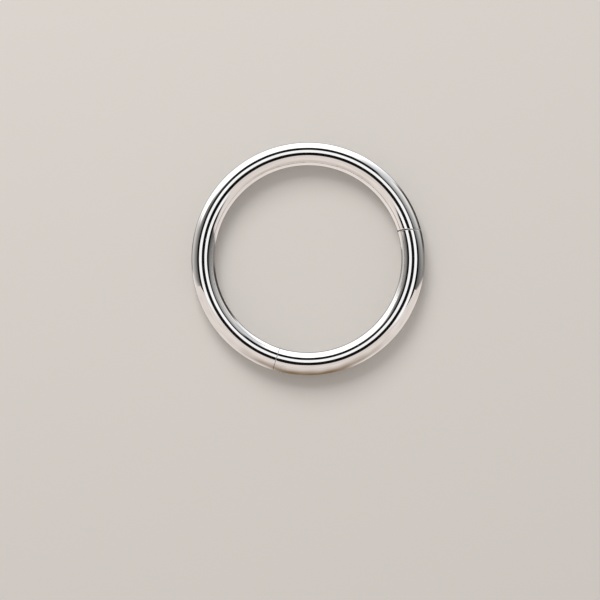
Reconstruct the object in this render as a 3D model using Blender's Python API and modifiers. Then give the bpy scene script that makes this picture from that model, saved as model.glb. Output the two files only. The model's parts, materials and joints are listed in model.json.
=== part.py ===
"""Hinged nose ring: a hoop of round polished wire that opens at a clasp seam and swings on a hinge pin.

The hoop is two arcs of the same wire. The long arc is fixed; the short one, the hinged segment, swings
outwards in the plane of the hoop. At the hinge the segment is a fork, and its two ears straddle a flat tongue
on the long arc. A thin pin crosses ears and tongue. At the clasp a flat tab on the segment lies in a slot in
the long arc.

Metres, +Z up. The ring lies flat, with the hoop's axis along Z. The origin is on that axis, at the height of
the surface that the ring lies on. Angles are counterclockwise from +X, seen from above.
"""

import math

import bmesh
import bpy
from mathutils import Matrix, Vector

# Hoop
WIRE_DIAMETER = 0.0010
INNER_DIAMETER = 0.0080
HINGE_SEAM_ANGLE = math.radians(252.2)
CLASP_SEAM_ANGLE = math.radians(15.7)
CLASP_SEAM_SLANT = math.radians(-13.7)  # how far the clasp's cut turns from square to the wire

# Hinge
HINGE_GAP = 0.00003
PIN_DIAMETER = 0.00024
PIN_CLEARANCE = 0.000012
PIN_OUTER_WALL = 0.00010  # metal between the pin and the outside of the hoop
EAR_NOSE_RADIUS = 0.00040  # the ears' rounded end, about the pin
TONGUE_THICKNESS = 0.00030
TONGUE_WALL = 0.00017  # metal round the pin at the tongue's end
SIDE_CLEARANCE = 0.00002

# Clasp
CLASP_GAP = 0.00004
TAB_LENGTH = 0.00045
TAB_THICKNESS = 0.00022

# Facets
HOOP_STEPS = 108
WIRE_SIDES = 32
PIN_SIDES = 24
NOSE_STEPS = 8

# Finish: mirror-polished surgical steel, and a pin that is ground flush and so a little duller
WIRE_COLOUR = (0.78, 0.77, 0.76)
WIRE_ROUGHNESS = 0.06
PIN_COLOUR = (0.74, 0.73, 0.72)
PIN_ROUGHNESS = 0.10

# Worked out from the sizes above
WIRE_RADIUS = WIRE_DIAMETER / 2
CENTRELINE_RADIUS = INNER_DIAMETER / 2 + WIRE_RADIUS
OUTER_RADIUS = INNER_DIAMETER / 2 + WIRE_DIAMETER
PIN_RADIUS = PIN_DIAMETER / 2
BORE_RADIUS = PIN_RADIUS + PIN_CLEARANCE
PIN_OUTWARD = WIRE_RADIUS - PIN_OUTER_WALL - PIN_RADIUS
PIN_ALONG = EAR_NOSE_RADIUS + HINGE_GAP / 2
TONGUE_END_RADIUS = BORE_RADIUS + TONGUE_WALL
TONGUE_SLOT_WIDTH = TONGUE_THICKNESS + 2 * SIDE_CLEARANCE
TAB_SLOT_WIDTH = TAB_THICKNESS + 2 * SIDE_CLEARANCE
WELD_DISTANCE = WIRE_DIAMETER * 1e-5

# Cutters reach this far past the wire on every side, and turn in steps no larger than this
REACH = 1.5 * WIRE_DIAMETER
LARGEST_STEP = math.radians(15)


def clear_scene():
    for obj in list(bpy.data.objects):
        bpy.data.objects.remove(obj)


def new_collection(name):
    collection = bpy.data.collections.new(name)
    bpy.context.scene.collection.children.link(collection)
    return collection


def polish(obj, colour, roughness):
    """Give a piece a polished steel of its own."""
    material = bpy.data.materials.new(f"{obj.name}_steel")
    material.use_nodes = True
    shader = material.node_tree.nodes["Principled BSDF"]
    shader.inputs["Base Color"].default_value = (*colour, 1.0)
    shader.inputs["Metallic"].default_value = 1.0
    shader.inputs["Roughness"].default_value = roughness
    obj.data.materials.append(material)


def add_object(name, data, collection):
    obj = bpy.data.objects.new(name, data)
    collection.objects.link(obj)
    return obj


def whole_hoop(name, collection):
    """The closed hoop of wire: a round section, flat side down, turned about Z."""
    section = bmesh.new()
    stand = Matrix.Translation((CENTRELINE_RADIUS, 0, WIRE_RADIUS)) @ Matrix.Rotation(math.pi / 2, 4, "X")
    flats = Matrix.Rotation(math.pi / WIRE_SIDES, 4, "Z")
    bmesh.ops.create_circle(
        section,
        segments=WIRE_SIDES,
        radius=WIRE_RADIUS / math.cos(math.pi / WIRE_SIDES),
        matrix=stand @ flats,
    )
    mesh = bpy.data.meshes.new(name)
    section.to_mesh(mesh)
    section.free()
    hoop = add_object(name, mesh, collection)
    turn = hoop.modifiers.new("Turn", "SCREW")
    turn.angle = math.tau
    turn.steps = HOOP_STEPS
    turn.render_steps = HOOP_STEPS
    turn.use_merge_vertices = False
    turn.use_smooth_shade = True
    return hoop


def as_cutter(obj):
    obj.hide_render = True
    obj.display_type = "WIRE"
    return obj


def plate(name, outline, low, high, collection):
    """A cutter: a flat outline in the plane of the hoop, from height low to height high."""
    flat = bpy.data.curves.new(name, "CURVE")
    flat.dimensions = "2D"
    flat.fill_mode = "BOTH"
    flat.extrude = (high - low) / 2
    spline = flat.splines.new("POLY")
    spline.points.add(len(outline) - 1)
    for point, place in zip(spline.points, outline):
        point.co = (place.x, place.y, 0, 1)
    spline.use_cyclic_u = True
    drawn = add_object(name, flat, collection)
    drawn.location.z = (low + high) / 2
    bpy.context.view_layer.update()
    graph = bpy.context.evaluated_depsgraph_get()
    mesh = bpy.data.meshes.new_from_object(drawn.evaluated_get(graph))
    matrix = drawn.matrix_world.copy()
    bpy.data.objects.remove(drawn)
    solid = bmesh.new()
    solid.from_mesh(mesh)
    bmesh.ops.remove_doubles(solid, verts=solid.verts, dist=WELD_DISTANCE)
    bmesh.ops.recalc_face_normals(solid, faces=solid.faces)
    solid.to_mesh(mesh)
    solid.free()
    cutter = add_object(name, mesh, collection)
    cutter.matrix_world = matrix
    return as_cutter(cutter)


def rod(name, radius, collection):
    """A round rod on the pin's axis, longer than the wire is thick."""
    solid = bmesh.new()
    bmesh.ops.create_cone(
        solid,
        cap_ends=True,
        segments=PIN_SIDES,
        radius1=radius,
        radius2=radius,
        depth=WIRE_DIAMETER + REACH,
    )
    mesh = bpy.data.meshes.new(name)
    solid.to_mesh(mesh)
    solid.free()
    obj = add_object(name, mesh, collection)
    obj.location = pin_centre()
    return obj


def add_boolean(obj, operation, other):
    cut = obj.modifiers.new(f"{operation.title()} {other.name}", "BOOLEAN")
    cut.operation = operation
    cut.solver = "EXACT"
    cut.object = other


def at_hinge(along, outward):
    """A point by the hinge seam: a distance along the wire, counterclockwise, and one out from its middle."""
    radial = Vector((math.cos(HINGE_SEAM_ANGLE), math.sin(HINGE_SEAM_ANGLE)))
    return radial * (CENTRELINE_RADIUS + outward) + radial.orthogonal() * along


def pin_centre():
    centre = at_hinge(PIN_ALONG, PIN_OUTWARD)
    return Vector((centre.x, centre.y, WIRE_RADIUS))


def at_clasp(beyond, outward):
    """A point by the clasp seam: a distance beyond its cut, counterclockwise, and one outward along it."""
    centre = Vector((math.cos(CLASP_SEAM_ANGLE), math.sin(CLASP_SEAM_ANGLE))) * CENTRELINE_RADIUS
    slant = CLASP_SEAM_ANGLE + CLASP_SEAM_SLANT
    cut = Vector((math.cos(slant), math.sin(slant)))
    return centre + cut * outward + cut.orthogonal() * beyond


def arc_about_pin(radius, start, end):
    """Points round the pin: angle 0 is along the wire, counterclockwise, and a right angle is outward."""
    turns = [start + (end - start) * i / NOSE_STEPS for i in range(NOSE_STEPS + 1)]
    return [at_hinge(PIN_ALONG + radius * math.cos(a), PIN_OUTWARD + radius * math.sin(a)) for a in turns]


def nose_line(radius):
    """Where ears and shoulder meet, from inside the hoop out: square to the wire, then round the pin."""
    return [
        at_hinge(PIN_ALONG - radius, -REACH),
        *arc_about_pin(radius, math.pi, math.pi / 2),
        at_hinge(PIN_ALONG, REACH),
    ]


def tongue_line(gap):
    """The tongue's end and a gap beyond it, from inside the hoop out: square to the wire, then a lug."""
    radius = TONGUE_END_RADIUS + gap
    foot = math.asin(gap / radius)
    return [
        at_hinge(PIN_ALONG + gap, -REACH),
        *arc_about_pin(radius, foot - math.pi / 2, math.pi / 2),
        at_hinge(PIN_ALONG, REACH),
    ]


def clasp_line(beyond):
    return [at_clasp(beyond, -REACH), at_clasp(beyond, REACH)]


def round_the_outside(start, end):
    """Points well outside the hoop, from one angle to another."""
    radius = OUTER_RADIUS + REACH
    steps = math.ceil(abs(end - start) / LARGEST_STEP)
    turns = [start + (end - start) * i / steps for i in range(1, steps)]
    return [Vector((math.cos(a), math.sin(a))) * radius for a in turns]


def sector(hinge_edge, clasp_edge, clasp_angle):
    """The outline of one side of the hoop, between an edge at the hinge and one at the clasp."""
    return [*hinge_edge, *round_the_outside(HINGE_SEAM_ANGLE, clasp_angle), *reversed(clasp_edge)]


def through(name, outline, cutters):
    """A cutter that goes right through the wire."""
    return plate(name, outline, -REACH, WIRE_DIAMETER + REACH, cutters)


def middle(name, outline, width, cutters):
    """A cutter for a slot of this width in the middle of the wire."""
    return plate(name, outline, WIRE_RADIUS - width / 2, WIRE_RADIUS + width / 2, cutters)


def either_side(name, outline, thickness, cutters):
    """Two cutters that leave a plate of this thickness in the middle of the wire."""
    top = WIRE_RADIUS + thickness / 2
    bottom = WIRE_RADIUS - thickness / 2
    return [
        plate(f"{name}_above", outline, top, WIRE_DIAMETER + REACH, cutters),
        plate(f"{name}_below", outline, -REACH, bottom, cutters),
    ]


def fixed_arc(parts, cutters, bore):
    """The long arc: a tongue with a pin hole at the hinge, and a slot for the tab at the clasp."""
    arc = whole_hoop("fixed_arc", parts)
    past_hinge = [at_hinge(REACH, REACH), at_hinge(REACH, -REACH)]
    before_clasp = [at_clasp(-REACH, REACH), at_clasp(-REACH, -REACH)]
    segment_side = sector(tongue_line(0), clasp_line(CLASP_GAP / 2), CLASP_SEAM_ANGLE + math.tau)
    ear_room = [*nose_line(EAR_NOSE_RADIUS + HINGE_GAP), *past_hinge]
    tab_room = [*clasp_line(TAB_LENGTH + CLASP_GAP / 2), *before_clasp]
    add_boolean(arc, "DIFFERENCE", through("segment_side", segment_side, cutters))
    for cutter in either_side("ear_room", ear_room, TONGUE_THICKNESS, cutters):
        add_boolean(arc, "DIFFERENCE", cutter)
    add_boolean(arc, "DIFFERENCE", bore)
    add_boolean(arc, "DIFFERENCE", middle("tab_room", tab_room, TAB_SLOT_WIDTH, cutters))
    return arc


def hinged_segment(parts, cutters, bore):
    """The short arc that swings: a fork of two ears at the hinge, and a flat tab at the clasp."""
    segment = whole_hoop("hinged_segment", parts)
    before_hinge = [at_hinge(-REACH, REACH), at_hinge(-REACH, -REACH)]
    past_clasp = [at_clasp(REACH, REACH), at_clasp(REACH, -REACH)]
    arc_side = sector(nose_line(EAR_NOSE_RADIUS), clasp_line(TAB_LENGTH - CLASP_GAP / 2), CLASP_SEAM_ANGLE)
    tongue_room = [*tongue_line(HINGE_GAP), *before_hinge]
    tab_sides = [*clasp_line(-CLASP_GAP / 2), *past_clasp]
    add_boolean(segment, "DIFFERENCE", through("arc_side", arc_side, cutters))
    add_boolean(segment, "DIFFERENCE", middle("tongue_room", tongue_room, TONGUE_SLOT_WIDTH, cutters))
    add_boolean(segment, "DIFFERENCE", bore)
    for cutter in either_side("tab_sides", tab_sides, TAB_THICKNESS, cutters):
        add_boolean(segment, "DIFFERENCE", cutter)
    return segment


def hinge_pin(parts, cutters):
    """The pin, with both ends ground to the wire's own round surface."""
    pin = rod("hinge_pin", PIN_RADIUS, parts)
    add_boolean(pin, "INTERSECT", as_cutter(whole_hoop("wire_surface", cutters)))
    return pin


def carry(axis, piece):
    """Hang a piece on the empty that turns it, where it already is."""
    bpy.context.view_layer.update()
    piece.parent = axis
    piece.matrix_parent_inverse = axis.matrix_world.inverted()


def main():
    clear_scene()
    parts = new_collection("nose_ring")
    cutters = new_collection("cutters")
    bore = as_cutter(rod("pin_bore", BORE_RADIUS, cutters))
    hinge_axis = add_object("hinge_axis", None, parts)
    hinge_axis.location = pin_centre()
    arc = fixed_arc(parts, cutters, bore)
    segment = hinged_segment(parts, cutters, bore)
    pin = hinge_pin(parts, cutters)
    carry(hinge_axis, segment)
    carry(hinge_axis, pin)
    polish(arc, WIRE_COLOUR, WIRE_ROUGHNESS)
    polish(segment, WIRE_COLOUR, WIRE_ROUGHNESS)
    polish(pin, PIN_COLOUR, PIN_ROUGHNESS)


main()
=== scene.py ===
"""A hinged nose ring of polished surgical steel, lying on a pale floor in soft studio light.

The frame and the camera come first, then the ring's pieces in the order they are put together, then the floor
and the studio. Metres, +Z up. The hoop lies flat with its axis along Z, and the top of the photo is towards
+Y. Angles are counterclockwise from +X, seen from above.
"""

import json
import math

import bmesh
import bpy
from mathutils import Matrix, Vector


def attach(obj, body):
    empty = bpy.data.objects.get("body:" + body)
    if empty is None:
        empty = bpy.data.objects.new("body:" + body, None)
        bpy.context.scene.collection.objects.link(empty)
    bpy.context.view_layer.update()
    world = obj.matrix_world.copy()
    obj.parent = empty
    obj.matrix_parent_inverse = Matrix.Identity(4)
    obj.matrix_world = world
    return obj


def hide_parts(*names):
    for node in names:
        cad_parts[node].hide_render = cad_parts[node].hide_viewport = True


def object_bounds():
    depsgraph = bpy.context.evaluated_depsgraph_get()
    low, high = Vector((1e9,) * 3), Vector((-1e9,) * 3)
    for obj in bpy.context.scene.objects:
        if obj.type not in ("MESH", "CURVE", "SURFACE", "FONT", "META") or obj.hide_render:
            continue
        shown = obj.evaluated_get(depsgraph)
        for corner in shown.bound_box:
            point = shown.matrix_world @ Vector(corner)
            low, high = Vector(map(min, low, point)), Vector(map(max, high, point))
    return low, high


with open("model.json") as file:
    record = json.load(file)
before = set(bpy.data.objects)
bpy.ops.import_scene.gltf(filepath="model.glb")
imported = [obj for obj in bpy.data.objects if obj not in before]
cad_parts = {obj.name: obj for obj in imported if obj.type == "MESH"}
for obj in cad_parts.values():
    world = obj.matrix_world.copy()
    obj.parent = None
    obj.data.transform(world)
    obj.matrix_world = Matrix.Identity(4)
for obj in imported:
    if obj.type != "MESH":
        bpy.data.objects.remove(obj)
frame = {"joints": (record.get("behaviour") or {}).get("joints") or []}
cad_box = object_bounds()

MM = 0.001

# Camera
# The photo looks along the hoop's axis. Here the hoop lies on the floor, so the camera looks straight down at
# it, from as far as a macro lens needs for the hoop to have its width in the photo.
PHOTO_PX = 600
HOOP_WIDTH_PX = 233.4
HOOP_MIDDLE_PX = (308.1, 259.0)
LENS_MM = 200
hoop_low, hoop_high = cad_box
px = (hoop_high.x - hoop_low.x) / HOOP_WIDTH_PX
camera = bpy.data.objects.new("camera", bpy.data.cameras.new("camera"))
camera.data.lens = LENS_MM
camera.data.clip_start = 5 * MM
camera.data.clip_end = 10
camera_height = PHOTO_PX * px * LENS_MM / camera.data.sensor_width
camera.location = (
    (PHOTO_PX / 2 - HOOP_MIDDLE_PX[0]) * px,
    (HOOP_MIDDLE_PX[1] - PHOTO_PX / 2) * px,
    (hoop_low.z + hoop_high.z) / 2 + camera_height,
)
bpy.context.scene.collection.objects.link(camera)
bpy.context.scene.camera = camera

# Fixed arc
# The long arc of the hoop: drawn round wire of 316L surgical steel, bent round a mandrel and polished. Its
# hinge end is milled down to a flat tongue with a pin hole. Its clasp end is sawn at a slant, leans a little
# through the wire, and is slotted for the segment's tab.
WIRE_RADIUS = (hoop_high.z - hoop_low.z) / 2
HOOP_RADIUS = (hoop_high.x - hoop_low.x) / 2 - WIRE_RADIUS
HINGE_SEAM = math.radians(252.2)
HINGE_GAP = 0.012 * MM
CLASP_SEAM = math.radians(15.4)
CLASP_CUT = math.radians(2.4)  # the cut's own direction, seen from above
CLASP_LEAN = math.tan(math.radians(8))  # how far the cut moves along the wire for each step up
CLASP_GAP = 0.024 * MM
CLASP_GAP_OPENS = math.radians(2.2)  # the gap is widest at the hoop's inner side
EAR_NOSE_RADIUS = 0.40 * MM
LUG_RADIUS = 0.302 * MM
TONGUE_THICKNESS = 0.30 * MM
TONGUE_ROOT = 0.15 * MM
TAB_LENGTH = 0.45 * MM
TAB_THICKNESS = 0.22 * MM
SIDE_CLEARANCE = 0.02 * MM
SIDES = 96
STEP = math.radians(1.0)
HINGE_ROUNDING = 0.012 * MM
CLASP_ROUNDING = 0.022 * MM
ROUNDING_STEPS = 6
FLUSH = 0.002 * MM  # how far a plate's edges stay inside the wire's surface
EDGE_LEVELS = 9
ACROSS_STEPS = 8
LUG_STEPS = 16
REAL_EDGE = math.radians(35)  # faces that meet at more than this show an edge
hinge_out = Vector((math.cos(HINGE_SEAM), math.sin(HINGE_SEAM)))
hinge_along = hinge_out.orthogonal()
pin_middle = Vector(frame["joints"][0]["pos_m"])
pin_along = pin_middle.xy.dot(hinge_along)
pin_outward = pin_middle.xy.dot(hinge_out) - HOOP_RADIUS


def at_hinge(along, outward):
    """A point by the hinge seam, a distance along the wire from it and one outward from the wire's middle."""
    return hinge_out * (HOOP_RADIUS + outward) + hinge_along * along


def round_pin(radius, start, end):
    """Points round the pin, from one angle in degrees to another; 90 is straight outward."""
    turns = [math.radians(start + (end - start) * i / LUG_STEPS) for i in range(LUG_STEPS + 1)]
    return [at_hinge(pin_along + radius * math.cos(a), pin_outward + radius * math.sin(a)) for a in turns]


def hinge_end(radius):
    """The hinge seam as an angle at each place in the wire: square to the wire, then round the pin."""
    def turn(outward, up=0):
        past_pin = max(outward - pin_outward, 0)
        return HINGE_SEAM + (pin_along - math.sqrt(radius**2 - past_pin**2)) / (HOOP_RADIUS + outward)
    return turn


def clasp_end(beyond, cut=CLASP_CUT, lean=0, turns=0):
    """The clasp seam, moved this far along the wire, as an angle at each place in the wire."""
    slope = Vector((math.cos(cut), math.sin(cut)))
    middle = Vector((math.cos(CLASP_SEAM), math.sin(CLASP_SEAM))) * HOOP_RADIUS
    def turn(outward, up=0):
        start = middle + slope.orthogonal() * (beyond + lean * up)
        nearest = start.dot(slope)
        run = math.sqrt(nearest**2 - start.length_squared + (HOOP_RADIUS + outward) ** 2) - nearest
        point = start + slope * run
        return math.atan2(point.y, point.x) + math.tau * turns
    return turn


def new_piece(name, shape):
    """An object from a bmesh, with its faces pointing out."""
    bmesh.ops.recalc_face_normals(shape, faces=shape.faces)
    mesh = bpy.data.meshes.new(name)
    shape.to_mesh(mesh)
    shape.free()
    piece = bpy.data.objects.new(name, mesh)
    bpy.context.scene.collection.objects.link(piece)
    return piece


def skin(shape, loops):
    """Quads between rings of points that follow each other."""
    rings = [[shape.verts.new(point) for point in loop] for loop in loops]
    for ring, following in zip(rings, rings[1:]):
        for i in range(len(ring)):
            shape.faces.new((ring[i - 1], ring[i], following[i], following[i - 1]))
    return rings


def wire_arc(name, low_end, high_end, low_rounding, high_rounding):
    """Round wire bent along the hoop from one end, an angle at each place in the wire, to the other."""
    around = [math.tau * (i + 0.5) / SIDES for i in range(SIDES)]

    def section(radius, turn):
        loop = []
        for a in around:
            outward = radius * math.cos(a)
            up = radius * math.sin(a)
            angle = turn(outward, up)
            reach = HOOP_RADIUS + outward
            loop.append((reach * math.cos(angle), reach * math.sin(angle), WIRE_RADIUS + up))
        return loop

    def moved(end, along):
        return lambda out, up: end(out, up) + along / (HOOP_RADIUS + out)

    def rounded(end, rounding, side):
        loops = []
        for i in range(ROUNDING_STEPS + 1):
            bend = math.pi / 2 * i / ROUNDING_STEPS
            depth = side * rounding * (1 - math.cos(bend))
            radius = WIRE_RADIUS - rounding * (1 - math.sin(bend))
            loops.append(section(radius, moved(end, depth)))
        return loops

    def part_way(share):
        return lambda out, up: low_end(out, up) * (1 - share) + high_end(out, up) * share

    span = high_end(0) - low_end(0)
    steps = round(span / STEP)
    loops = rounded(low_end, low_rounding, 1)
    for i in range(1, steps):
        loops.append(section(WIRE_RADIUS, part_way(i / steps)))
    loops += reversed(rounded(high_end, high_rounding, -1))
    shape = bmesh.new()
    rings = skin(shape, loops)
    for ring in (rings[0], rings[-1]):
        for i in range(SIDES // 2 - 1):
            shape.faces.new((ring[i], ring[i + 1], ring[-i - 2], ring[-i - 1]))
    return new_piece(name, shape)


def flush_plate(name, outline, thickness):
    """A plate in the middle of the wire whose edges follow the wire's round surface."""
    loops = []
    for i in range(EDGE_LEVELS):
        up = thickness * (i / (EDGE_LEVELS - 1) - 0.5)
        edge = math.sqrt(WIRE_RADIUS**2 - up**2) - FLUSH
        loops.append([(point.x, point.y, WIRE_RADIUS + up) for point in outline(edge)])
    shape = bmesh.new()
    rings = skin(shape, loops)
    for ring in (rings[0], rings[-1]):
        shape.faces.new(ring)
    return new_piece(name, shape)


def along_hoop(outward, start, end, steps=12):
    """Points on the hoop's own curve, at a distance outward, from one angle to another."""
    turns = [start + (end - start) * i / steps for i in range(steps + 1)]
    return [Vector((math.cos(a), math.sin(a))) * (HOOP_RADIUS + outward) for a in turns]


def tongue_outline(edge):
    """The hinge tongue, as wide as the wire there, with its round lug about the pin."""
    pin_reach = pin_middle.xy.length
    past_pin = ((HOOP_RADIUS + edge) ** 2 - pin_reach**2 - LUG_RADIUS**2) / (2 * pin_reach * LUG_RADIUS)
    lug_turn = 90 - math.degrees(math.atan2(pin_along, HOOP_RADIUS + pin_outward) + math.acos(past_pin))
    lug = round_pin(LUG_RADIUS, -90, lug_turn)
    lug_end = math.atan2(lug[-1].y, lug[-1].x) % math.tau
    root = HINGE_SEAM - TONGUE_ROOT / HOOP_RADIUS
    inner = along_hoop(-edge, root, HINGE_SEAM + pin_along / (HOOP_RADIUS - edge))
    outer = along_hoop(edge, lug_end, root)
    return [*inner, *lug, *outer[1:]]


def slab(name, outline, thickness):
    """A flat plate in the middle of the wire, for a cut."""
    shape = bmesh.new()
    face = shape.faces.new([shape.verts.new((p.x, p.y, WIRE_RADIUS - thickness / 2)) for p in outline])
    raised = bmesh.ops.extrude_face_region(shape, geom=[face])
    top = [v for v in raised["geom"] if isinstance(v, bmesh.types.BMVert)]
    bmesh.ops.translate(shape, verts=top, vec=(0, 0, thickness))
    return new_piece(name, shape)


def combine(piece, operation, other):
    """Cut, join or intersect a piece with another one, which is used up."""
    change = piece.modifiers.new(operation.lower(), "BOOLEAN")
    change.operation = operation
    change.solver = "EXACT"
    change.object = other
    graph = bpy.context.evaluated_depsgraph_get()
    mesh = bpy.data.meshes.new_from_object(piece.evaluated_get(graph))
    piece.modifiers.clear()
    piece.data = mesh
    bpy.data.objects.remove(other)


def between(low_end, high_end):
    """The outline between two cuts across the wire, for any distance from the wire's middle to its edge."""
    def outline(edge):
        across = [edge * (2 * i / ACROSS_STEPS - 1) for i in range(1, ACROSS_STEPS)]
        tip = [along_hoop(out, high_end(out), high_end(out), 1)[0] for out in across]
        root = [along_hoop(out, low_end(out), low_end(out), 1)[0] for out in reversed(across)]
        inner = along_hoop(-edge, low_end(-edge), high_end(-edge))
        outer = along_hoop(edge, high_end(edge), low_end(edge))
        return [*inner, *tip, *outer, *root]
    return outline


def linear(hex_colour):
    """An sRGB hex colour as the linear colour that shaders take."""
    parts = [int(hex_colour[i:i + 2], 16) / 255 for i in (1, 3, 5)]
    return (*[c / 12.92 if c <= 0.04045 else ((c + 0.055) / 1.055) ** 2.4 for c in parts], 1.0)


def add_node(tree, kind, inputs=None, **settings):
    """Add a node with its settings, and give its sockets values or links."""
    made = tree.nodes.new(kind)
    for setting, value in settings.items():
        setattr(made, setting, value)
    for socket, value in (inputs or {}).items():
        if isinstance(value, bpy.types.NodeSocket):
            tree.links.new(value, made.inputs[socket])
        else:
            made.inputs[socket].default_value = value
    return made


def new_material(name):
    """A material with its node tree and the one Principled shader in it."""
    material = bpy.data.materials.new(name)
    material.use_nodes = True
    return material, material.node_tree, material.node_tree.nodes["Principled BSDF"]


def polished_steel(name, colour, roughness):
    """316L steel polished on a wheel: a mirror with fine lines along the wire, slow waves and a few pits."""
    material, tree, shader = new_material(name)
    place = add_node(tree, "ShaderNodeTexCoord").outputs["Object"]
    flat = add_node(tree, "ShaderNodeVectorMath", {0: place, 1: (1, 1, 0)}, operation="MULTIPLY").outputs[0]
    reach = add_node(tree, "ShaderNodeVectorMath", {0: flat}, operation="LENGTH").outputs["Value"]
    # Polishing lines are under 0.01 mm wide on the real wire, which is too fine to show, so they are drawn
    # 0.05 mm wide
    line_width = 0.05 * MM
    line_length = 0.8 * MM
    line_depth = 0.0004 * MM
    smudge = 0.04
    stretch = (1 / line_length, 1 / line_length, 1 / line_width)
    along = add_node(
        tree, "ShaderNodeVectorMath", {0: place, 1: stretch}, operation="MULTIPLY"
    ).outputs[0]
    across = add_node(tree, "ShaderNodeMath", {0: reach, 1: 1 / line_width}, operation="MULTIPLY").outputs[0]
    lines = add_node(
        tree, "ShaderNodeTexNoise",
        {"Vector": along, "W": across, "Scale": 1.0, "Detail": 2.0}, noise_dimensions="4D",
    ).outputs["Fac"]
    # Waves from the polishing wheel's pressure, a little longer than the wire is thick
    wave_length = 1.3 * MM
    wave_depth = 0.008 * MM
    waves = add_node(
        tree, "ShaderNodeTexNoise", {"Vector": place, "Scale": 1 / wave_length, "Detail": 1.0}
    ).outputs["Fac"]
    # Pits as large as a grain of grit, about ten to each centimetre of wire
    pit_spacing = 0.5 * MM
    pit_radius = 0.022 * MM
    pit_depth = 0.002 * MM
    to_pit = add_node(
        tree, "ShaderNodeTexVoronoi", {"Vector": place, "Scale": 1 / pit_spacing}
    ).outputs["Distance"]
    pits = add_node(
        tree, "ShaderNodeMapRange", {"Value": to_pit, "From Max": pit_radius / pit_spacing},
        interpolation_type="SMOOTHSTEP",
    ).outputs["Result"]
    relief = None
    for height, depth in ((waves, wave_depth), (lines, line_depth), (pits, pit_depth)):
        bump = add_node(tree, "ShaderNodeBump", {"Height": height, "Distance": depth, "Strength": 1.0})
        if relief:
            tree.links.new(relief, bump.inputs["Normal"])
        relief = bump.outputs["Normal"]
    haze = add_node(
        tree, "ShaderNodeMapRange", {"Value": lines, "To Min": roughness, "To Max": roughness + smudge}
    ).outputs["Result"]
    # A thin film of polish left in the lines makes them a shade lighter and darker
    film_shade = 0.07
    film = add_node(
        tree, "ShaderNodeMapRange",
        {
            "Value": lines, "From Min": 0.3, "From Max": 0.7,
            "To Min": 1 - film_shade, "To Max": 1 + film_shade,
        },
    ).outputs["Result"]
    tone = add_node(
        tree, "ShaderNodeVectorMath", {0: linear(colour)[:3], "Scale": film}, operation="SCALE"
    ).outputs[0]
    tree.links.new(tone, shader.inputs["Base Color"])
    tree.links.new(haze, shader.inputs["Roughness"])
    tree.links.new(relief, shader.inputs["Normal"])
    shader.inputs["Metallic"].default_value = 1.0
    return material


def finish_surface(piece, material):
    """Shade a piece smooth, apart from its real edges, and give it its finish."""
    piece.data.shade_smooth()
    piece.data.set_sharp_from_angle(angle=REAL_EDGE)
    piece.data.materials.clear()
    piece.data.materials.append(material)


steel = polished_steel("wheel_polished_316L_steel", "#d7d6d4", 0.025)
arc_end_at_hinge = hinge_end(EAR_NOSE_RADIUS + HINGE_GAP)
arc_end_at_clasp = clasp_end(CLASP_GAP / 2, CLASP_CUT - CLASP_GAP_OPENS / 2, CLASP_LEAN)
long_arc = wire_arc("long_arc", arc_end_at_clasp, arc_end_at_hinge, CLASP_ROUNDING, HINGE_ROUNDING)
combine(long_arc, "UNION", flush_plate("tongue", tongue_outline, TONGUE_THICKNESS))
far = 1.5 * WIRE_RADIUS  # cuts reach this far from the wire's middle
tab_room = between(clasp_end(-TAB_LENGTH), clasp_end(TAB_LENGTH + CLASP_GAP / 2))(far)
combine(long_arc, "DIFFERENCE", slab("tab_slot", tab_room, TAB_THICKNESS + 2 * SIDE_CLEARANCE))
finish_surface(long_arc, steel)
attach(long_arc, "hoop")
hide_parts("fixed_arc")

# Hinged segment
# The short arc, of the same wire. Its hinge end is slotted into a fork, and the fork's two ears are rounded
# about the pin so that they turn past the long arc. At the clasp a flat tab stands out of it and lies hidden
# in its slot.
TAB_ROOT = 0.25 * MM  # how deep the tab is set into the segment
PIN_RADIUS = 0.12 * MM
PIN_HOLE_PLAY = 0.003 * MM
PIN_SIDES = 64
ROD_LENGTH = 4 * WIRE_RADIUS


def rod(name, radius):
    """A round rod on the pin's axis, longer than the wire is thick."""
    shape = bmesh.new()
    bmesh.ops.create_cone(
        shape, cap_ends=True, segments=PIN_SIDES, radius1=radius, radius2=radius, depth=ROD_LENGTH
    )
    bmesh.ops.translate(shape, verts=shape.verts, vec=pin_middle)
    return new_piece(name, shape)


segment_cut = CLASP_CUT + CLASP_GAP_OPENS / 2
segment_end_at_clasp = clasp_end(-CLASP_GAP / 2, segment_cut, CLASP_LEAN, turns=1)
segment_end_at_hinge = hinge_end(EAR_NOSE_RADIUS)
short_arc = wire_arc("short_arc", segment_end_at_hinge, segment_end_at_clasp, HINGE_ROUNDING, CLASP_ROUNDING)
tab = between(clasp_end(-TAB_ROOT, turns=1), clasp_end(TAB_LENGTH - CLASP_GAP / 2, turns=1))
combine(short_arc, "UNION", flush_plate("tab", tab, TAB_THICKNESS))
slot_foot = math.degrees(math.asin(HINGE_GAP / (LUG_RADIUS + HINGE_GAP)))
tongue_room = [
    at_hinge(pin_along + HINGE_GAP, -far),
    *round_pin(LUG_RADIUS + HINGE_GAP, slot_foot - 90, 90),
    at_hinge(pin_along, far),
    at_hinge(-far, far),
    at_hinge(-far, -far),
]
combine(short_arc, "DIFFERENCE", slab("tongue_slot", tongue_room, TONGUE_THICKNESS + 2 * SIDE_CLEARANCE))
combine(short_arc, "DIFFERENCE", rod("ear_holes", PIN_RADIUS + PIN_HOLE_PLAY))
finish_surface(short_arc, steel)
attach(short_arc, "segment")
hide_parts("hinged_segment")

# Hinge pin
# A short length of hard drawn steel wire, pressed through both ears and the tongue between them. Its ends are
# ground off and polished with the ring, so they keep the round of the hoop's wire and barely show.
cross_pin = rod("cross_pin", PIN_RADIUS)


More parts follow.
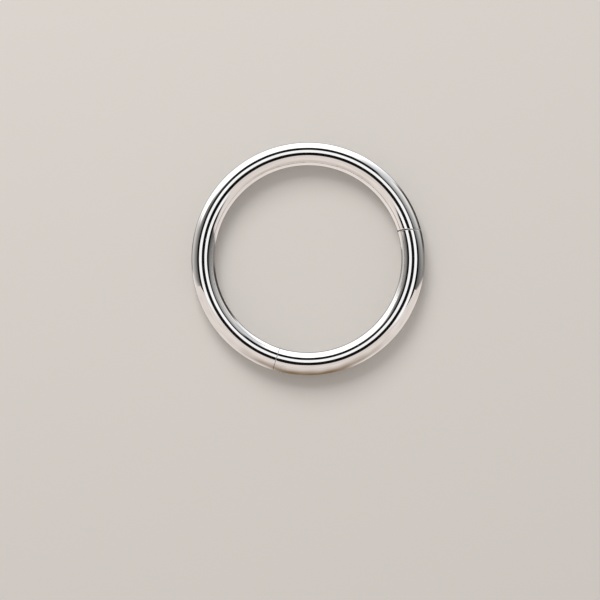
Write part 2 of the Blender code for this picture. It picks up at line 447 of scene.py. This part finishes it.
def square_cut(past_pin):
    """A cut square to the wire, this far past the pin, as an angle at each place in the wire."""
    turn = HINGE_SEAM + (pin_along + past_pin) / HOOP_RADIUS
    return lambda outward, up=0: turn


by_pin = 5 * PIN_RADIUS
wire_by_pin = wire_arc("wire_by_pin", square_cut(-by_pin), square_cut(by_pin), FLUSH, FLUSH)
combine(cross_pin, "INTERSECT", wire_by_pin)
finish_surface(cross_pin, polished_steel("ground_hard_drawn_steel", "#d3d2d0", 0.03))
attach(cross_pin, "segment")
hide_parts("hinge_pin")

# Floor
# A plain board painted a pale, warm matt grey, far larger than the ring, so that its edge stays out of view.
# The steel doesn't mirror it: on that side, as on every other, it mirrors the tent.
FLOOR_SIZE = 4.0
bpy.ops.mesh.primitive_plane_add(size=FLOOR_SIZE, location=(0, 0, 0))
floor = bpy.context.object
floor.name = "floor"
paint, _, paint_shader = new_material("matt_painted_board")
paint_shader.inputs["Base Color"].default_value = linear("#d2cdc8")
paint_shader.inputs["Roughness"].default_value = 0.8
paint_shader.inputs["Specular IOR Level"].default_value = 0.2
floor.data.materials.append(paint)
floor.visible_glossy = False

# Studio
# The steel mirrors a round light tent of white cloth. It has a hole for the lens, a front and a back softbox
# with a dark gap between them, grey side walls and a warm pale board on the near side.
TENT_RADIUS = 200 * MM
TENT_STEP = 1.0
UNLIT = 0.012
# Angles are in degrees: azimuth counterclockwise from +X, tilt away from straight up. A pane covers the ones
# before it. Its start, its end and the glow at each of them are given at its top and at its low tilt, and it
# fades over its soft angles: start, end, top and low.
PANES = (
    # The dim underside and the dark right_floor pane, like near_shade, are painted shade, as on the floor
    # under and beside the hoop
    {"name": "underside", "start": (0, 0), "end": (360, 360), "tilt": (96, 180),
     "soft": (0, 0, 6, 1), "start_glow": (0.38, 0.30), "end_glow": (0.38, 0.30), "colour": "#f6ece6"},
    {"name": "near_board", "start": (189, 185), "end": (338, 352), "tilt": (0, 150),
     "soft": (4, 5, 1, 16), "start_glow": (1.04, 1.20), "end_glow": (0.96, 1.10), "colour": "#fef4ef"},
    {"name": "near_shade", "start": (226, 226), "end": (314, 314), "tilt": (62, 96),
     "soft": (36, 36, 16, 5), "start_glow": (1.04, 0.56), "end_glow": (1.04, 0.56), "colour": "#fbeee4"},
    {"name": "right_wall", "start": (340, 351), "end": (411, 408), "tilt": (42, 108),
     "soft": (6, 5, 14, 14), "start_glow": (0.03, 0.42), "end_glow": (0.20, 1.65), "colour": "#fafafb"},
    {"name": "right_floor", "start": (366, 366), "end": (398, 398), "tilt": (117, 170),
     "soft": (8, 10, 14, 20), "start_glow": (0.08, 0.08), "end_glow": (0.08, 0.08), "colour": "#fbf6f2"},
    {"name": "left_wall", "start": (130, 150), "end": (196, 190), "tilt": (55, 128),
     "soft": (14, 9, 12, 40), "start_glow": (0.13, 1.25), "end_glow": (0.11, 0.95), "colour": "#fbf8f6"},
    {"name": "softbox_side", "start": (44, 40), "end": (66, 66), "tilt": (62, 142),
     "soft": (6, 2, 6, 20), "start_glow": (0.80, 1.25), "end_glow": (0.70, 2.70), "colour": "#f8faff"},
    {"name": "back_softbox", "start": (64, 60), "end": (141, 162), "tilt": (64, 142),
     "soft": (12, 18, 3, 20), "start_glow": (1.90, 1.90), "end_glow": (1.90, 1.90), "colour": "#ffffff"},
    {"name": "softbox_tube", "start": (66, 66), "end": (158, 158), "tilt": (82, 102),
     "soft": (10, 14, 5, 5), "start_glow": (2.60, 2.60), "end_glow": (2.60, 2.60), "colour": "#ffffff"},
    {"name": "side_gaps", "start": (-34, -22), "end": (208, 200), "tilt": (38, 49),
     "soft": (14, 12, 3, 6), "start_glow": (0.01, 0.01), "end_glow": (0.01, 0.01), "colour": "#ffffff"},
    {"name": "right_gap", "start": (-36, -24), "end": (18, 10), "tilt": (38, 58),
     "soft": (8, 14, 3, 8), "start_glow": (0.01, 0.01), "end_glow": (0.01, 0.01), "colour": "#ffffff"},
    {"name": "left_gap", "start": (158, 166), "end": (210, 204), "tilt": (38, 58),
     "soft": (12, 8, 3, 8), "start_glow": (0.01, 0.01), "end_glow": (0.01, 0.01), "colour": "#ffffff"},
    {"name": "front_softbox", "start": (-40, -34), "end": (214, 206), "tilt": (0, 38.5),
     "soft": (12, 12, 1, 3), "start_glow": (1.42, 1.42), "end_glow": (1.42, 1.42), "colour": "#fdfdff"},
    {"name": "lens_hole", "start": (0, 0), "end": (360, 360), "tilt": (-10, 14),
     "soft": (0, 0, 1, 2), "start_glow": (0.01, 0.01), "end_glow": (0.01, 0.01), "colour": "#ffffff"},
)


def smooth(share):
    """A share kept between 0 and 1 that starts and ends gently."""
    share = min(max(share, 0), 1)
    return share * share * (3 - 2 * share)


def tent_glow(azimuth, tilt):
    """The light that comes from this direction of the tent, as a linear colour."""
    glow = Vector((UNLIT, UNLIT, UNLIT))
    for pane in PANES:
        top, low = pane["tilt"]
        down = min(max((tilt - top) / (low - top), 0), 1)
        keys = ("start", "end", "start_glow", "end_glow")
        start, end, start_glow, end_glow = [pane[key][0] * (1 - down) + pane[key][1] * down for key in keys]
        soft_start, soft_end, soft_top, soft_low = pane["soft"]
        cover = smooth((tilt - top) / soft_top + 0.5) * smooth((low - tilt) / soft_low + 0.5)
        past_start = 0
        # A pane without soft sides goes all the way round
        if soft_start:
            outside = 360 - (end - start)
            past_start = (azimuth - start + outside / 2) % 360 - outside / 2
            cover *= smooth(past_start / soft_start + 0.5)
            cover *= smooth((end - start - past_start) / soft_end + 0.5)
        strength = start_glow + (end_glow - start_glow) * smooth(past_start / (end - start))
        glow = glow.lerp(Vector(linear(pane["colour"])[:3]) * strength, cover)
    return glow


rows = round(180 / TENT_STEP)
columns = round(360 / TENT_STEP)
tent_shape = bmesh.new()
glow_layer = tent_shape.verts.layers.float_color.new("glow")
bmesh.ops.create_uvsphere(tent_shape, u_segments=columns, v_segments=rows, radius=TENT_RADIUS)
for vert in tent_shape.verts:
    azimuth = math.degrees(math.atan2(vert.co.y, vert.co.x))
    tilt = math.degrees(vert.co.angle(Vector((0, 0, 1))))
    vert[glow_layer] = (*tent_glow(azimuth, tilt), 1)
tent = new_piece("light_tent", tent_shape)
# White cloth with lamps behind it: it glows by itself, and has no colour or sheen of its own
cloth, cloth_tree, cloth_shader = new_material("lit_tent_cloth")
cloth_glow = add_node(cloth_tree, "ShaderNodeAttribute", attribute_name="glow").outputs["Color"]
cloth_shader.inputs["Base Color"].default_value = linear("#000000")
cloth_shader.inputs["Specular IOR Level"].default_value = 0
cloth_shader.inputs["Emission Strength"].default_value = 1
cloth_tree.links.new(cloth_glow, cloth_shader.inputs["Emission Color"])
tent.data.materials.append(cloth)
tent.visible_camera = False
tent.visible_diffuse = False
tent.visible_shadow = False

# A low pale card stands round the near rim of the hoop, browned by painted shade along its foot and in a
# fainter band at its sides, and its top edge tapers down at both ends. It glows, and only the steel mirrors
# it: a painted reflection. Each row of it is where the wire's outer side mirrors one tilt.
CARD_REACH = 5.6 * MM
CARD_ENDS = (194, 344)
CARD_TAPERS = (5, 12)
CARD_TILTS = (38, 150)
CARD_TILT_AT_ENDS = 58
CARD_STEP = 1.0
SHADE_MIDDLE = 272
FOOT_HALF_WIDTH = 28
FOOT_SIDE_FADE = 16
FOOT_START_TILT = 37
FOOT_DEEPENS_OVER = 85
BAND_HALF_WIDTH = 50
BAND_SIDE_FADE = 34
BAND_BROWN = 0.78
BAND_TILTS = (30, 135)
BAND_FADES = (60, 40)
RIPPLE_DEPTH = 0.035
RIPPLE_FINE = 0.7  # how fast the shade's ripples follow each other, in radians to a degree of azimuth
RIPPLE_COARSE = 0.31
RIPPLE_SLANT = 0.08  # radians to a degree of tilt
pale = Vector(linear("#fef4ef")[:3]) * 1.06
brown = Vector(linear("#f0cca0")[:3]) * 0.34


def painted_shade(azimuth, tilt):
    """How deep the painted shade browns the card here: deepest at its foot in the middle, fainter in a band
    at the sides.
    """
    aside = abs(azimuth - SHADE_MIDDLE)
    middle = smooth((FOOT_HALF_WIDTH - aside) / FOOT_SIDE_FADE)
    foot = smooth((tilt - FOOT_START_TILT) / FOOT_DEEPENS_OVER)
    band = BAND_BROWN * smooth((tilt - BAND_TILTS[0]) / BAND_FADES[0])
    band *= smooth((BAND_TILTS[1] - tilt) / BAND_FADES[1])
    band *= smooth((BAND_HALF_WIDTH - aside) / BAND_SIDE_FADE)
    ripple = math.sin(RIPPLE_FINE * azimuth) + math.sin(RIPPLE_COARSE * azimuth + RIPPLE_SLANT * tilt)
    return min(max(foot * middle + band * (1 - middle) + RIPPLE_DEPTH * ripple, 0), 1)


card_shape = bmesh.new()
card_glow = card_shape.verts.layers.float_color.new("glow")
card_start, card_end = CARD_ENDS
card_top, card_foot = CARD_TILTS
card_columns = round((card_end - card_start) / CARD_STEP)
card_rows = round((card_foot - card_top) / CARD_STEP)
card_lines = []
for column in range(card_columns + 1):
    azimuth = card_start + column * CARD_STEP
    turn = math.radians(azimuth)
    from_ends = (azimuth - card_start, card_end - azimuth)
    taper = min(smooth(distance / length) for distance, length in zip(from_ends, CARD_TAPERS))
    top_tilt = CARD_TILT_AT_ENDS + (card_top - CARD_TILT_AT_ENDS) * taper
    line = []
    for row in range(card_rows + 1):
        tilt = top_tilt + (card_foot - top_tilt) * row / card_rows
        # The wire mirrors a tilt where its own surface slopes half as much
        slope = math.radians(tilt / 2)
        away = CARD_REACH - HOOP_RADIUS - WIRE_RADIUS * math.sin(slope)
        up = WIRE_RADIUS * (1 + math.cos(slope)) + away / math.tan(2 * slope)
        vert = card_shape.verts.new((CARD_REACH * math.cos(turn), CARD_REACH * math.sin(turn), up))
        # Painted shade: the card's glow turns from pale to brown where it is shaded
        vert[card_glow] = (*pale.lerp(brown, painted_shade(azimuth, tilt)), 1)
        line.append(vert)
    card_lines.append(line)
for line, following in zip(card_lines, card_lines[1:]):
    for row in range(card_rows):
        card_shape.faces.new((line[row], line[row + 1], following[row + 1], following[row]))
card = new_piece("shade_card", card_shape)
card.data.materials.append(cloth)
card.visible_camera = False
card.visible_diffuse = False
card.visible_shadow = False

# The floor takes its light from a pale room all round and from one soft lamp behind the hoop
ROOM_GLOW = 0.62
LAMP_SIZE = 90 * MM
LAMP_WATTS = 0.19
LAMP_PLACE = Vector((-40 * MM, 120 * MM, 110 * MM))
room = bpy.data.worlds.new("studio")
room.use_nodes = True
bpy.context.scene.world = room
background = room.node_tree.nodes["Background"]
background.inputs["Color"].default_value = linear("#fbf8f5")
background.inputs["Strength"].default_value = ROOM_GLOW
lamp = bpy.data.objects.new("soft_lamp", bpy.data.lights.new("soft_lamp", "AREA"))
lamp.data.size = LAMP_SIZE
lamp.data.energy = LAMP_WATTS
lamp.location = LAMP_PLACE
lamp.rotation_euler = (-LAMP_PLACE).to_track_quat("-Z", "Y").to_euler()
lamp.visible_glossy = False
bpy.context.scene.collection.objects.link(lamp)
# Tones as they are, without a film's curve
bpy.context.scene.view_settings.view_transform = "Standard"
